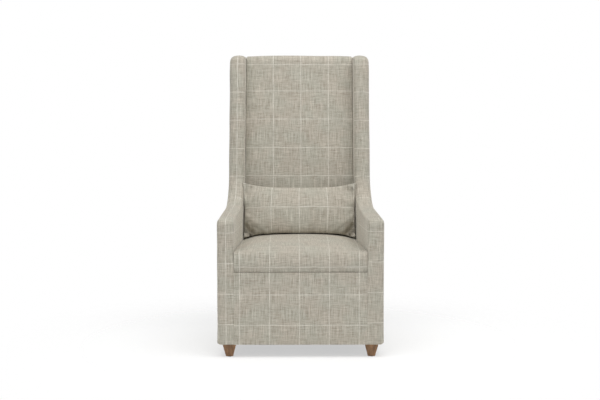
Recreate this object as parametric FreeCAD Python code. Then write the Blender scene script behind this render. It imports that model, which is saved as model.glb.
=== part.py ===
import FreeCAD, Part
import math
import os

from FreeCAD import Vector

# Upholstered wing host chair: hardwood frame, sinuous-spring seat, foam, woven covers, loose lumbar pillow.
# Millimetres, +Z up, front towards -Y, origin on the floor under the middle of the chair.

# Driving dimensions of the whole chair
WIDTH = 696.6
DEPTH = 720.0
HEIGHT = 1285.0
BASE_Z = 54.0
ARM_FRONT_Y = -352.0
ARM_Z = 580.5
SIDE_T = 70.0
SIDE_TAPER = math.radians(3.08)
COVER_T = 1.6

# Backward lean of the inside back and of the outside back
INSIDE_LEAN = math.radians(6.7)
INSIDE_BACK_Y = 154.0
INSIDE_BACK_Z = 480.0
REAR_BOTTOM_Y = 256.0
REAR_LENGTH = 1228.0
REAR_LEAN = math.asin((DEPTH / 2 - REAR_BOTTOM_Y) / REAR_LENGTH)
REAR_PANEL_T = 5.0
REAR_PANEL_EDGE = 3.0
REAR_PANEL_GAP = 0.1

# Arm and wing outline
ARM_RISE = 38.0
ARM_NOSE_R = 28.0
SCOOP_R = 166.0
WING_PROUD = 60.0
WING_TOP_Z = 1281.0
WING_NOSE_R = 38.0
OUTER_EDGE_R = 20.0
INNER_EDGE_R = 14.0
HEM_R = 8.0
PANEL_SEAM = 6.0

# Hardwood stock
STOCK_T = 32.0
POST_W = 50.0
FRAME_INSET = 8.0
FRAME_W0 = FRAME_INSET
FRAME_W1 = FRAME_INSET + STOCK_T
POST_W1 = FRAME_INSET + POST_W
FRONT_PAD = 12.0
FRAME_Z0 = BASE_Z + COVER_T
BASE_RAIL_H = 82.0
SEAT_RAIL_Z0 = 250.0
SEAT_RAIL_Z1 = 338.0
ARM_RAIL_Z1 = ARM_Z - FRONT_PAD
ARM_RAIL_Z0 = ARM_RAIL_Z1 - STOCK_T
WING_RAIL_Z1 = WING_TOP_Z - 13.0
WING_RAIL_Z0 = WING_RAIL_Z1 - STOCK_T
REAR_POST_N0 = 13.0
REAR_POST_N1 = REAR_POST_N0 + POST_W
BACK_RAIL_N0 = REAR_POST_N1 - STOCK_T
TOP_RAIL_S = (1128.0, 1208.0)
LUMBAR_RAIL_S = (730.0, 790.0)
LOWER_RAIL_S = (330.0, 400.0)
FRONT_POST_Y0 = ARM_FRONT_Y + FRONT_PAD
FRONT_POST_Y1 = FRONT_POST_Y0 + POST_W
FRONT_RAIL_Y1 = FRONT_POST_Y0 + STOCK_T
DOWEL_R = 4.5
DOWEL_L = 60.0
ROW_SHIFT = 11.0
SEAT_DOWEL_ROWS = (20.0, 58.0)
BASE_DOWEL_ROWS = (38.0, 62.0)
BACK_DOWEL_EDGE = 16.0
BLOCK_LEG = 72.0
BLOCK_Z = (262.0, 322.0)
SCREW_R = 2.2
SCREW_L = 44.0
SCREW_HEAD_R = 4.4
SCREW_HEAD_H = 4.0
SCREW_SUNK = 6.0
RAIL_SETBACK = 4.0

# Seat suspension and seat
SPRING_COUNT = 4
SPRING_SPACING = 118.0
SPRING_WIRE_R = 1.9
SPRING_LOOP_W = 54.0
SPRING_RUNS = 16
SPRING_FRONT_Y = -322.0
SPRING_BACK_Y = 226.0
CLIP_W = 16.0
CLIP_T = 1.2
CLIP_TAB = 13.0
CLIP_ROOM = 0.1
TIE_WIRE_R = 1.25
TIE_WIRE_Y = (-140.0, 40.0)
TIE_WIRE_REACH = 8.0
INSULATOR_T = 4.0
INSULATOR_Z0 = SEAT_RAIL_Z1 + 2 * SPRING_WIRE_R + 2 * TIE_WIRE_R + 0.2
FOAM_Z0 = INSULATOR_Z0 + INSULATOR_T
DECK_Z = SEAT_RAIL_Z1 + SPRING_WIRE_R
LIP_Z = 360.0
LIP_BACK_Y = -338.0
LIP_BULGE = 2.18
SEAT_LIP_Y = -DEPTH / 2 + LIP_BULGE
SEAT_FRONT_Z = 447.0
SEAT_CROWN_Z = 478.0
SEAT_BACK_Z = 470.0
SEAT_SIDE_DROP = 20.0
SEAT_GAP = 0.4
SEAT_BACK_GAP = 2.0
SEAT_CROWN_Y = -70.0
LIP_UNDERCUT = 9.0
BELLY_RISE = 38.0
SHOULDER_BACK = 4.0
SHOULDER_DROP = 28.0
ROLL_D = 38.0
ROLL_RISE = 3.0

# Inside back
BACK_Z0 = 352.0
BACK_ROLL_R = 30.0
BACK_REAR_ROLL_R = 16.0
BACK_SIDE_FALL = 20.0
BACK_ARCH = 7.0
BACK_FLAP = 20.0
WEB_T = 2.0
WEB_W = 50.0
WEB_END = 6.0
WEB_X = (-165.0, -55.0, 55.0, 165.0)

# Front apron
APRON_TOP_Z = 358.5
APRON_GAP = 1.0
APRON_BOARD_T = 6.0
APRON_EDGE_R = 4.0

# Feet
FOOT_TOP = 56.0
FOOT_BOTTOM = 30.0
FOOT_W = 49.0
FOOT_EDGE_R = 2.0
FRONT_FOOT_Y = -316.0
GLIDE_R = 9.0
GLIDE_H = 3.0
BOLT_R = 4.0
BOLT_DOWN = 34.0
BOLT_UP = 30.0
INSERT_R = 5.5
INSERT_L = 26.0
DUST_T = 1.0
DUST_INSET = 26.0

# Lumbar pillow
PILLOW_TOP_HALF_W = 251.0
PILLOW_MID_HALF_W = 248.0
PILLOW_LOW_HALF_W = 249.0
PILLOW_MID_HALF_H = 100.0
PILLOW_END_HALF_H = 119.0
PILLOW_T = 130.0
PILLOW_END_T = 26.0
PILLOW_Z = 571.0
PILLOW_GAP = 2.0
PILLOW_COVER_T = 1.2

# Room for building solids that are trimmed later
FAR = 600.0
SIDE_X = (150.0, 450.0)
OPEN_END = 6.0


def side_x(w, y):
    """X of the right side's vertical plane that lies w inside its outer face, at depth y."""
    run = y - ARM_FRONT_Y
    return WIDTH / 2 - w / math.cos(SIDE_TAPER) - run * math.tan(SIDE_TAPER)


def inside_back_y(z):
    """Y of the inside back's middle line at height z."""
    return INSIDE_BACK_Y + (z - INSIDE_BACK_Z) * math.tan(INSIDE_LEAN)


def wing_front_y(z):
    """Y of the wing's front edge at height z."""
    return inside_back_y(z) - WING_PROUD


def rear_point(n, s):
    """(y, z) of a point n in front of the outside back's plane and s up along it."""
    y = REAR_BOTTOM_Y + s * math.sin(REAR_LEAN) - n * math.cos(REAR_LEAN)
    z = BASE_Z + s * math.cos(REAR_LEAN) + n * math.sin(REAR_LEAN)
    return y, z


def rear_y(n, z):
    """Y at height z of the plane that lies n in front of the outside back."""
    return REAR_BOTTOM_Y + (z - BASE_Z) * math.tan(REAR_LEAN) - n / math.cos(REAR_LEAN)


def box(x0, x1, y0, y1, z0, z1):
    return Part.makeBox(x1 - x0, y1 - y0, z1 - z0, Vector(x0, y0, z0))


def line(a, b):
    return Part.LineSegment(a, b).toShape()


def arc(a, middle, b):
    return Part.Arc(a, middle, b).toShape()


def rounded_wire(corners, place):
    """Closed wire through (a, b, radius) corners; place(a, b) turns a corner into a point in space."""
    edges = []
    ends = []
    count = len(corners)
    for i, (a, b, radius) in enumerate(corners):
        here = Vector(a, b, 0)
        back = Vector(*corners[i - 1][:2], 0) - here
        ahead = Vector(*corners[(i + 1) % count][:2], 0) - here
        back.normalize()
        ahead.normalize()
        half = back.getAngle(ahead) / 2
        if radius == 0:
            ends.append((here, here, here))
            continue
        reach = radius / math.tan(half)
        bisector = back + ahead
        bisector.normalize()
        centre = here + bisector * (radius / math.sin(half))
        ends.append((here + back * reach, centre - bisector * radius, here + ahead * reach))
    for i, (start, middle, end) in enumerate(ends):
        if start != end:
            edges.append(arc(*[place(p.x, p.y) for p in (start, middle, end)]))
        following = ends[(i + 1) % count][0]
        if (following - end).Length > 1e-6:
            edges.append(line(place(end.x, end.y), place(following.x, following.y)))
    return Part.Wire(edges)


def in_yz(x=0.0):
    return lambda y, z: Vector(x, y, z)


def in_xy(z=0.0):
    return lambda x, y: Vector(x, y, z)


def sharp(points):
    return [(a, b, 0) for a, b in points]


def prism(wire, run):
    return Part.Face(wire).extrude(run)


def yz_prism(corners, x0, x1):
    return prism(rounded_wire(corners, in_yz(x0)), Vector(x1 - x0, 0, 0))


def xy_prism(corners, z0, z1):
    return prism(rounded_wire(corners, in_xy(z0)), Vector(0, 0, z1 - z0))


def side_slab(w0, w1):
    """Upright slab of the right side, from w0 to w1 inside its outer face."""
    corners = [(side_x(w, y), y) for w, y in ((w0, -FAR), (w1, -FAR), (w1, FAR), (w0, FAR))]
    return xy_prism(sharp(corners), 0, 2 * FAR + HEIGHT)


def between_sides(w):
    """Everything between the planes that lie w inside the two outer faces."""
    front, back = side_x(w, -FAR), side_x(w, FAR)
    corners = [(-front, -FAR), (front, -FAR), (back, FAR), (-back, FAR)]
    return xy_prism(sharp(corners), 0, 2 * FAR + HEIGHT)


def side_piece(corners, w0, w1):
    """A (y, z) outline cut from stock that stands between w0 and w1 of the right side."""
    return yz_prism(corners, *SIDE_X).common(side_slab(w0, w1))


def cross_piece(corners, w):
    """A (y, z) section that runs across the chair and ends on both planes at w."""
    return yz_prism(corners, -FAR, FAR).common(between_sides(w))


def rear_bar(n0, n1, s0, s1):
    """Section of a bar that leans with the outside back."""
    return sharp([rear_point(n0, s0), rear_point(n1, s0), rear_point(n1, s1), rear_point(n0, s1)])


def mirrored(shape):
    return shape.mirror(Vector(0, 0, 0), Vector(1, 0, 0))


def cylinder(centre, direction, radius, length):
    """Cylinder of that length, centred on a point."""
    axis = Vector(direction)
    axis.normalize()
    return Part.makeCylinder(radius, length, centre - axis * (length / 2), axis)


# Frame


def side_outline(inset=0.0):
    """Arm and wing seen from the side: nose of the arm, scoop, leaning wing edge; open-ended to the rear."""
    arm_back_z = ARM_Z + ARM_RISE
    corners = [
        (ARM_FRONT_Y, BASE_Z, HEM_R),
        (ARM_FRONT_Y, ARM_Z, ARM_NOSE_R),
        (wing_front_y(arm_back_z), arm_back_z, SCOOP_R),
        (wing_front_y(WING_TOP_Z), WING_TOP_Z, WING_NOSE_R),
        (FAR, WING_TOP_Z, 0),
        (FAR, BASE_Z, 0),
    ]
    wire = rounded_wire(corners, in_yz(SIDE_X[0]))
    return wire.makeOffset2D(-inset) if inset else wire


def side_frame():
    """Right side's hardwood: posts, rails, and the sawn wing post with its knee."""
    post_face = lambda z: rear_y(REAR_POST_N1, z)
    front_post = [
        (FRONT_POST_Y0, FRAME_Z0),
        (FRONT_POST_Y0, ARM_RAIL_Z0),
        (FRONT_POST_Y1, ARM_RAIL_Z0),
        (FRONT_POST_Y1, FRAME_Z0),
    ]
    arm_rail = [
        (FRONT_POST_Y0, ARM_RAIL_Z0, 0),
        (FRONT_POST_Y0, ARM_RAIL_Z1, FRONT_PAD),
        (post_face(ARM_RAIL_Z1), ARM_RAIL_Z1, 0),
        (post_face(ARM_RAIL_Z0), ARM_RAIL_Z0, 0),
    ]
    wing_edge = lambda z: wing_front_y(z) + FRONT_PAD
    wing_back = lambda z: wing_edge(z) + POST_W
    knee_r = SCOOP_R + FRONT_PAD
    knee_reach = knee_r * math.tan((math.pi / 2 - INSIDE_LEAN) / 2)
    knee_tip_y = wing_edge(ARM_RAIL_Z1) - knee_reach
    wing_post = [
        (knee_tip_y - 1, ARM_RAIL_Z1, 0),
        (wing_edge(ARM_RAIL_Z1), ARM_RAIL_Z1, knee_r),
        (wing_edge(WING_RAIL_Z0), WING_RAIL_Z0, 0),
        (wing_back(WING_RAIL_Z0), WING_RAIL_Z0, 0),
        (wing_back(ARM_RAIL_Z1), ARM_RAIL_Z1, 0),
        (wing_back(ARM_RAIL_Z1) - 1, ARM_RAIL_Z1 - 1, 0),
        (knee_tip_y - 1, ARM_RAIL_Z1 - 1, 0),
    ]
    knee_room = box(*SIDE_X, knee_tip_y + POST_W, FAR, ARM_RAIL_Z1, HEIGHT)
    wing_rail = [
        (wing_edge(WING_RAIL_Z0) + RAIL_SETBACK, WING_RAIL_Z0, 0),
        (wing_edge(WING_RAIL_Z1) + RAIL_SETBACK, WING_RAIL_Z1, FRONT_PAD),
        (post_face(WING_RAIL_Z1), WING_RAIL_Z1, 0),
        (post_face(WING_RAIL_Z0), WING_RAIL_Z0, 0),
    ]
    rear_top_s = (WING_RAIL_Z1 - BASE_Z) / math.cos(REAR_LEAN) - REAR_POST_N1 * math.tan(REAR_LEAN)
    rear_foot_s = COVER_T / math.cos(REAR_LEAN)

    def side_rail(z0, z1):
        return [(FRONT_POST_Y1, z0), (FRONT_POST_Y1, z1), (post_face(z1), z1), (post_face(z0), z0)]

    return {
        "front_post": side_piece(sharp(front_post), FRAME_W0, POST_W1),
        "arm_rail": side_piece(arm_rail, FRAME_W0, FRAME_W1),
        "wing_post": side_piece(wing_post, FRAME_W0, FRAME_W1).common(knee_room),
        "wing_rail": side_piece(wing_rail, FRAME_W0, FRAME_W1),
        "back_post": side_piece(
            rear_bar(REAR_POST_N0, REAR_POST_N1, rear_foot_s, rear_top_s), FRAME_W0, POST_W1
        ),
        "seat_side_rail": side_piece(
            sharp(side_rail(SEAT_RAIL_Z0, SEAT_RAIL_Z1)), FRAME_W0, FRAME_W1
        ),
        "base_side_rail": side_piece(
            sharp(side_rail(FRAME_Z0, FRAME_Z0 + BASE_RAIL_H)), FRAME_W0, FRAME_W1
        ),
    }


def cross_frame():
    """Rails that run between the two sides."""

    def front_rail(z0, z1):
        return sharp(
            [(FRONT_POST_Y0, z0), (FRONT_POST_Y0, z1), (FRONT_RAIL_Y1, z1), (FRONT_RAIL_Y1, z0)]
        )

    def rear_rail(z0, z1):
        y0 = rear_y(REAR_POST_N1, z0) + RAIL_SETBACK
        return sharp([(y0, z0), (y0, z1), (y0 + STOCK_T, z1), (y0 + STOCK_T, z0)])

    sections = {
        "seat_front_rail": front_rail(SEAT_RAIL_Z0, SEAT_RAIL_Z1),
        "base_front_rail": front_rail(FRAME_Z0, FRAME_Z0 + BASE_RAIL_H),
        "seat_back_rail": rear_rail(SEAT_RAIL_Z0, SEAT_RAIL_Z1),
        "base_back_rail": rear_rail(FRAME_Z0, FRAME_Z0 + BASE_RAIL_H),
        "back_lower_rail": rear_bar(BACK_RAIL_N0, REAR_POST_N1, *LOWER_RAIL_S),
        "back_lumbar_rail": rear_bar(BACK_RAIL_N0, REAR_POST_N1, *LUMBAR_RAIL_S),
        "back_top_rail": rear_bar(BACK_RAIL_N0, REAR_POST_N1, *TOP_RAIL_S),
    }
    return {name: cross_piece(section, POST_W1) for name, section in sections.items()}


def seat_back_rail_y():
    """Y of the seat back rail's front face."""
    return rear_y(REAR_POST_N1, SEAT_RAIL_Z0) + RAIL_SETBACK


def block_corners():
    """Per right-hand seat corner: its end, the rail's face, the way into the seat, the long face's ends."""
    z = sum(BLOCK_Z) / 2
    found = []
    for end, rail_y, post_y, way in (
        ("front", FRONT_RAIL_Y1, FRONT_POST_Y1, 1),
        ("rear", seat_back_rail_y(), rear_y(REAR_POST_N1, z), -1),
    ):
        side_end_y = post_y + way * BLOCK_LEG
        a = Vector(side_x(POST_W1 + BLOCK_LEG, rail_y), rail_y, z)
        b = Vector(side_x(FRAME_W1, side_end_y), side_end_y, z)
        found.append((end, rail_y, way, a, b))
    return found


def corner_blocks(posts):
    """Seat corner blocks of the right side, notched round the posts and lying against both rails."""
    blocks = {}
    for end, rail_y, _, a, b in block_corners():
        corners = [(a.x, a.y), (b.x, b.y), (side_x(FRAME_W1, rail_y), rail_y)]
        blocks[end] = xy_prism(sharp(corners), *BLOCK_Z).cut(posts[end])
    return blocks


def block_screws():
    """Two countersunk screws through each right-hand corner block into its rails, with their head bores."""
    screws = []
    for _, _, way, a, b in block_corners():
        for share, aim in ((0.30, Vector(0, -way, 0)), (0.62, Vector(1, 0, 0))):
            sunk = a + (b - a) * share + aim * SCREW_SUNK
            shank = Part.makeCylinder(SCREW_R, SCREW_L, sunk, aim)
            head = Part.makeCone(SCREW_HEAD_R, SCREW_R, SCREW_HEAD_H, sunk, aim)
            bore = Part.makeCylinder(SCREW_HEAD_R, BLOCK_LEG / 2, sunk - aim * BLOCK_LEG / 2, aim)
            screws.append((shank.fuse(head), bore))
    return screws


def dowels():
    """Dowels of every rail-to-post joint on the right side; each lies half in either piece."""
    found = []
    across = Vector(1, 0, 0)
    along = Vector(-math.sin(SIDE_TAPER), math.cos(SIDE_TAPER), 0)

    def across_joint(y, z):
        found.append(cylinder(Vector(side_x(POST_W1, y), y, z), across, DOWEL_R, DOWEL_L))

    def along_joint(y, z):
        w = (FRAME_W0 + FRAME_W1) / 2
        found.append(cylinder(Vector(side_x(w, y), y, z), along, DOWEL_R, DOWEL_L))

    front_y = (FRONT_POST_Y0 + FRONT_RAIL_Y1) / 2
    for rows, z0 in ((SEAT_DOWEL_ROWS, SEAT_RAIL_Z0), (BASE_DOWEL_ROWS, FRAME_Z0)):
        for z in [z0 + row for row in rows]:
            across_joint(front_y, z)
            across_joint(rear_y(REAR_POST_N1, z0) + RAIL_SETBACK + STOCK_T / 2, z)
            along_joint(FRONT_POST_Y1, z + ROW_SHIFT)
            along_joint(rear_y(REAR_POST_N1, z + ROW_SHIFT), z + ROW_SHIFT)
    for s0, s1 in (LOWER_RAIL_S, LUMBAR_RAIL_S, TOP_RAIL_S):
        for s in (s0 + BACK_DOWEL_EDGE, s1 - BACK_DOWEL_EDGE):
            across_joint(*rear_point((BACK_RAIL_N0 + REAR_POST_N1) / 2, s))
    for z0, z1 in ((ARM_RAIL_Z0, ARM_RAIL_Z1), (WING_RAIL_Z0, WING_RAIL_Z1)):
        middle = (z0 + z1) / 2
        along_joint(rear_y(REAR_POST_N1, middle), middle)
    return found


# Seat suspension


def sinuous_spring(x):
    """One zigzag spring: level runs across, joined by half-circle loops, one unbroken wire; and its path."""
    pitch = (SPRING_BACK_Y - SPRING_FRONT_Y) / (SPRING_RUNS - 1)
    loop_r = pitch / 2
    reach = SPRING_LOOP_W / 2 - loop_r
    pieces = []
    edges = []
    for i in range(SPRING_RUNS):
        y = SPRING_FRONT_Y + i * pitch
        way = 1 if i % 2 == 0 else -1
        start, end = Vector(x - way * reach, y, DECK_Z), Vector(x + way * reach, y, DECK_Z)
        edges.append(line(start, end))
        pieces.append(Part.makeCylinder(SPRING_WIRE_R, 2 * reach, start, end - start))
        if i < SPRING_RUNS - 1:
            crown = Vector(x + way * (reach + loop_r), y + loop_r, DECK_Z)
            edges.append(arc(end, crown, Vector(x + way * reach, y + pitch, DECK_Z)))
            section = Part.Circle(end, Vector(1, 0, 0), SPRING_WIRE_R).toShape()
            centre = Vector(x + way * reach, y + loop_r, DECK_Z)
            loop = Part.Face(Part.Wire([section])).revolve(centre, Vector(0, 0, way), 180)
            pieces.append(loop)
    return pieces[0].multiFuse(pieces[1:]), Part.Wire(edges)


def least_gap(path):
    """Least clear distance between stretches of one wire that lie more than a loop apart along it."""
    step = 4.0
    points = path.discretize(Distance=step)
    skip = int(SPRING_LOOP_W / step)
    least = min((a - b).Length for i, a in enumerate(points) for b in points[i + skip :])
    return least - 2 * SPRING_WIRE_R


def spring_xs():
    middle = (SPRING_COUNT - 1) / 2
    return [(i - middle) * SPRING_SPACING for i in range(SPRING_COUNT)]


def spring_clips():
    """Hooked clip over the end run of each spring, its tab nailed flat on the rail."""
    clips = []
    inner = SPRING_WIRE_R + CLIP_ROOM
    outer = inner + CLIP_T
    for x in spring_xs():
        ends = (x - CLIP_W / 2, x + CLIP_W / 2)
        for y, way in ((SPRING_FRONT_Y, 1), (SPRING_BACK_Y, -1)):
            centre = Vector(x, y, DECK_Z)
            across = Vector(1, 0, 0)
            ring = cylinder(centre, across, outer, CLIP_W).cut(cylinder(centre, across, inner, CLIP_W))
            hook = ring.common(box(*ends, y - 2 * outer, y + 2 * outer, DECK_Z, HEIGHT))
            leg = box(*ends, *sorted((y - way * inner, y - way * outer)), SEAT_RAIL_Z1, DECK_Z)
            tab_ends = sorted((y - way * inner, y - way * CLIP_TAB))
            tab = box(*ends, *tab_ends, SEAT_RAIL_Z1, SEAT_RAIL_Z1 + CLIP_T)
            clips.append(hook.multiFuse([leg, tab]).removeSplitter())
    return clips


def tie_wires():
    z = SEAT_RAIL_Z1 + 2 * SPRING_WIRE_R + TIE_WIRE_R
    wires = []
    for y in TIE_WIRE_Y:
        half = spring_xs()[-1] + SPRING_LOOP_W / 2 + TIE_WIRE_REACH
        wires.append(Part.makeCylinder(TIE_WIRE_R, 2 * half, Vector(-half, y, z), Vector(1, 0, 0)))
    return wires


def seat_end_y(z):
    """Y at height z of the seat's back end, just clear of the inside back."""
    return inside_back_y(z) - SEAT_BACK_GAP


def insulator():
    z0, z1 = INSULATOR_Z0, FOAM_Z0
    section = [(LIP_BACK_Y, z0), (LIP_BACK_Y, z1), (seat_end_y(z1), z1), (seat_end_y(z0), z0)]
    return cross_piece(sharp(section), SIDE_T + SEAT_BACK_GAP)


# Soft forms


def seat_section(x, inset, bottom):
    """Seat cut at x: lip over the apron, bulging front, rolled edge, crowned top, leaning back end."""
    half = side_x(SIDE_T, 0)
    drop = SEAT_SIDE_DROP * min(1.0, abs(x) / half) ** 3
    front_z = SEAT_FRONT_Z - 0.25 * drop - inset
    crown_z = SEAT_CROWN_Z - drop - inset
    back_z = SEAT_BACK_Z - drop - inset
    lip_y = SEAT_LIP_Y + inset
    p = in_yz(x)
    low_back = p(seat_end_y(bottom), bottom)
    step_low = p(LIP_BACK_Y + inset, bottom)
    step_high = p(LIP_BACK_Y + inset, LIP_Z + inset)
    lip_low = p(lip_y + LIP_UNDERCUT, LIP_Z + inset)
    belly = p(lip_y, LIP_Z + BELLY_RISE)
    shoulder = p(lip_y + SHOULDER_BACK, front_z - SHOULDER_DROP)
    roll_middle = p(lip_y + ROLL_D / 3, front_z - SHOULDER_DROP / 3.5)
    roll_end = p(lip_y + ROLL_D, front_z + ROLL_RISE)
    high_back = p(seat_end_y(back_z), back_z)
    return Part.Wire(
        [
            line(low_back, step_low),
            line(step_low, step_high),
            line(step_high, lip_low),
            arc(lip_low, belly, shoulder),
            arc(shoulder, roll_middle, roll_end),
            arc(roll_end, p(SEAT_CROWN_Y, crown_z), high_back),
            line(high_back, low_back),
        ]
    )


def back_section(x, inset, bottom):
    """Inside back cut at x: leaning face, rolled top edge, rear edge against the outside back."""
    half = side_x(SIDE_T, 150)
    share = min(1.0, abs(x) / half)
    fall = BACK_SIDE_FALL * share**4 + inset
    top = HEIGHT - BACK_ARCH * share**2 - inset
    rear_n = REAR_PANEL_T + inset
    roll = BACK_ROLL_R - inset
    rear_roll = BACK_REAR_ROLL_R - inset
    face = lambda z: inside_back_y(z) + fall
    corners = [
        (face(bottom), bottom, 0),
        (face(top), top, roll),
        (rear_y(rear_n, top), top, rear_roll),
        (rear_y(rear_n, bottom), bottom, 0),
    ]
    return rounded_wire(corners, in_yz(x))


def crowned(section, inset, bottom, w, half):
    """Soft form lofted through sections across the chair, then trimmed to the sides."""
    shares = (-1.0, -0.92, -0.74, -0.4, 0.0, 0.4, 0.74, 0.92, 1.0)
    wires = [section(share * half, inset, bottom) for share in shares]
    return Part.makeLoft(wires, True, False).common(between_sides(w))


def seat_forms():
    half = side_x(SIDE_T, ARM_FRONT_Y) + 2
    w = SIDE_T + SEAT_GAP
    outer = crowned(seat_section, 0.0, FOAM_Z0, w, half)
    foam = crowned(seat_section, COVER_T, FOAM_Z0, w + COVER_T, half)
    room = crowned(seat_section, COVER_T, FOAM_Z0 - OPEN_END, w + COVER_T, half)
    return {"seat_foam": foam, "seat_cover": outer.cut(room)}


def back_forms(rails):
    half = side_x(SIDE_T, 0) + 2
    w = SIDE_T + SEAT_GAP
    hollow_n = REAR_POST_N1 + WEB_T + SEAT_GAP
    hollow = yz_prism(rear_bar(-FAR, hollow_n, 0, TOP_RAIL_S[1] + SEAT_GAP), -FAR, FAR)
    skin_n = REAR_PANEL_T + 2 * COVER_T
    rear_skin = yz_prism(rear_bar(-FAR, skin_n, 0, TOP_RAIL_S[1] - BACK_FLAP), -FAR, FAR)
    outer = crowned(back_section, 0.0, BACK_Z0, w, half)
    padding = crowned(back_section, COVER_T, BACK_Z0, w + COVER_T, half)
    room = crowned(back_section, COVER_T, BACK_Z0 - OPEN_END, w + COVER_T, half)
    return {
        "back_foam": padding.cut(hollow),
        "inside_back_cover": cut_all(outer, [room, rear_skin] + rails),
    }


def webbing():
    """Upright straps stretched over the faces of the three back rails."""
    straps = []
    n0, n1 = REAR_POST_N1, REAR_POST_N1 + WEB_T
    for x in WEB_X:
        section = rear_bar(n0, n1, LOWER_RAIL_S[0] + WEB_END, TOP_RAIL_S[1] - WEB_END)
        straps.append(yz_prism(section, x - WEB_W / 2, x + WEB_W / 2))
    return straps


def rolled(body, w, radius):
    """The side with its edge at w rolled over, round the front, the top and the hem."""
    edges = []
    for edge in body.Edges:
        first, last = edge.ParameterRange
        p = edge.valueAt((first + last) / 2)
        on_face = abs(p.x - side_x(w, p.y)) < 0.01
        if on_face and p.y < FAR - 1 and p.z > BASE_Z + 2 * HEM_R:
            edges.append(edge)
    return body.makeFillet(radius, edges)


def side_envelope(inset):
    """Upholstered right side; its inner edge is rolled above the seat and meets the apron flush below it."""
    w0, w1 = inset, SIDE_T - inset
    rear_room = yz_prism(rear_bar(REAR_PANEL_T + inset, 2 * FAR, -FAR, 3 * FAR), *SIDE_X)
    outline = prism(side_outline(inset), Vector(SIDE_X[1] - SIDE_X[0], 0, 0))
    body = rolled(outline.common(side_slab(w0, w1)), w0, OUTER_EDGE_R - inset)
    upper_room = box(*SIDE_X, -FAR, FAR, LIP_Z, 2 * HEIGHT)
    upper = rolled(body, w1, INNER_EDGE_R - inset).common(upper_room)
    return body.cut(upper_room).fuse(upper).common(rear_room)


def side_soft(inner, frame):
    """Padding and the two covers of the right side."""
    outer = side_envelope(0.0)
    below_deck = box(*SIDE_X, FRONT_POST_Y0, FAR, 0, DECK_Z)
    below_deck = below_deck.common(side_slab(FRAME_W1, 2 * SIDE_T))
    padding = cut_all(inner, frame + [below_deck])
    skin = cut_all(outer, [inner, below_deck] + frame)
    panel_room = prism(side_outline(OUTER_EDGE_R + PANEL_SEAM), Vector(SIDE_X[1] - SIDE_X[0], 0, 0))
    panel_room = panel_room.common(side_slab(-COVER_T, COVER_T))
    return {
        "arm_wing_padding": padding,
        "inside_arm_cover": skin.cut(panel_room),
        "outside_arm_cover": skin.common(panel_room),
    }


def apron():
    """Front apron between the arm fronts: board on the rails, padding, cover wrapped over its edges."""
    half = side_x(SIDE_T, FRONT_POST_Y0) - APRON_GAP
    y1 = FRONT_POST_Y0

    def form(inset, y_back):
        face_y = ARM_FRONT_Y + inset
        body = box(-half + inset, half - inset, face_y, y_back, BASE_Z + inset, APRON_TOP_Z - inset)
        edges = [e for e in body.Edges if e.BoundBox.YMax < face_y + 0.01 and e.BoundBox.XLength > 1]
        return body.makeFillet(APRON_EDGE_R - inset, edges)

    board_half = half - APRON_EDGE_R
    board = box(-board_half, board_half, y1 - APRON_BOARD_T, y1, FRAME_Z0 + COVER_T, SEAT_RAIL_Z1)
    padding = form(COVER_T, y1).cut(board)
    cover = form(0.0, y1).cut(form(COVER_T, y1 + OPEN_END))
    return {"apron_board": board, "apron_padding": padding, "apron_cover": cover}


def outside_back():
    """Flat panel that closes the rear: thin padding under a cover, rounded at its top corners."""
    low = side_x(REAR_PANEL_EDGE, REAR_BOTTOM_Y)
    high = side_x(REAR_PANEL_EDGE, DEPTH / 2)
    corners = [
        (-low, 0, HEM_R),
        (low, 0, HEM_R),
        (high, REAR_LENGTH, OUTER_EDGE_R),
        (-high, REAR_LENGTH, OUTER_EDGE_R),
    ]

    def layer(n0, n1):
        def place(x, s):
            return Vector(x, *rear_point(n0, s))

        y0, z0 = rear_point(n0, 0)
        y1, z1 = rear_point(n1, 0)
        return prism(rounded_wire(corners, place), Vector(0, y1 - y0, z1 - z0))

    return {
        "outside_back_cover": layer(0, COVER_T),
        "outside_back_padding": layer(COVER_T, REAR_PANEL_T - REAR_PANEL_GAP),
    }


def dust_cover():
    front, back = ARM_FRONT_Y + DUST_INSET, rear_y(DUST_INSET, BASE_Z)
    corners = [
        (side_x(DUST_INSET, front), front, 0),
        (side_x(DUST_INSET, back), back, 0),
        (-side_x(DUST_INSET, back), back, 0),
        (-side_x(DUST_INSET, front), front, 0),
    ]
    return xy_prism(corners, BASE_Z - DUST_T, BASE_Z)


# Feet


def foot_places():
    """(name, x, y) of the four feet; each stands under a post."""
    rear_foot_y = rear_y((REAR_POST_N0 + REAR_POST_N1) / 2, BASE_Z)
    places = []
    for end, y in (("front", FRONT_FOOT_Y), ("rear", rear_foot_y)):
        x = side_x(FOOT_W, y)
        places.append((end + "_right", x, y))
        places.append((end + "_left", -x, y))
    return places


def square(x, y, z, size):
    h = size / 2
    return rounded_wire(
        [(x + a * h, y + b * h, FOOT_EDGE_R) for a, b in ((-1, -1), (1, -1), (1, 1), (-1, 1))], in_xy(z)
    )


def foot(x, y):
    top, low = square(x, y, BASE_Z, FOOT_TOP), square(x, y, GLIDE_H, FOOT_BOTTOM)
    return Part.makeLoft([low, top], True, True)


def hanger_bolt(x, y):
    return Part.makeCylinder(BOLT_R, BOLT_DOWN + BOLT_UP, Vector(x, y, BASE_Z - BOLT_DOWN))


def insert_nut(x, y):
    return Part.makeCylinder(INSERT_R, INSERT_L, Vector(x, y, FRAME_Z0)).cut(hanger_bolt(x, y))


def glide(x, y):
    body = Part.makeCylinder(GLIDE_R, GLIDE_H, Vector(x, y, 0))
    low = [e for e in body.Edges if e.BoundBox.ZMax < 0.01]
    return body.makeFillet(GLIDE_H / 2, low)


# Lumbar pillow


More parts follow.
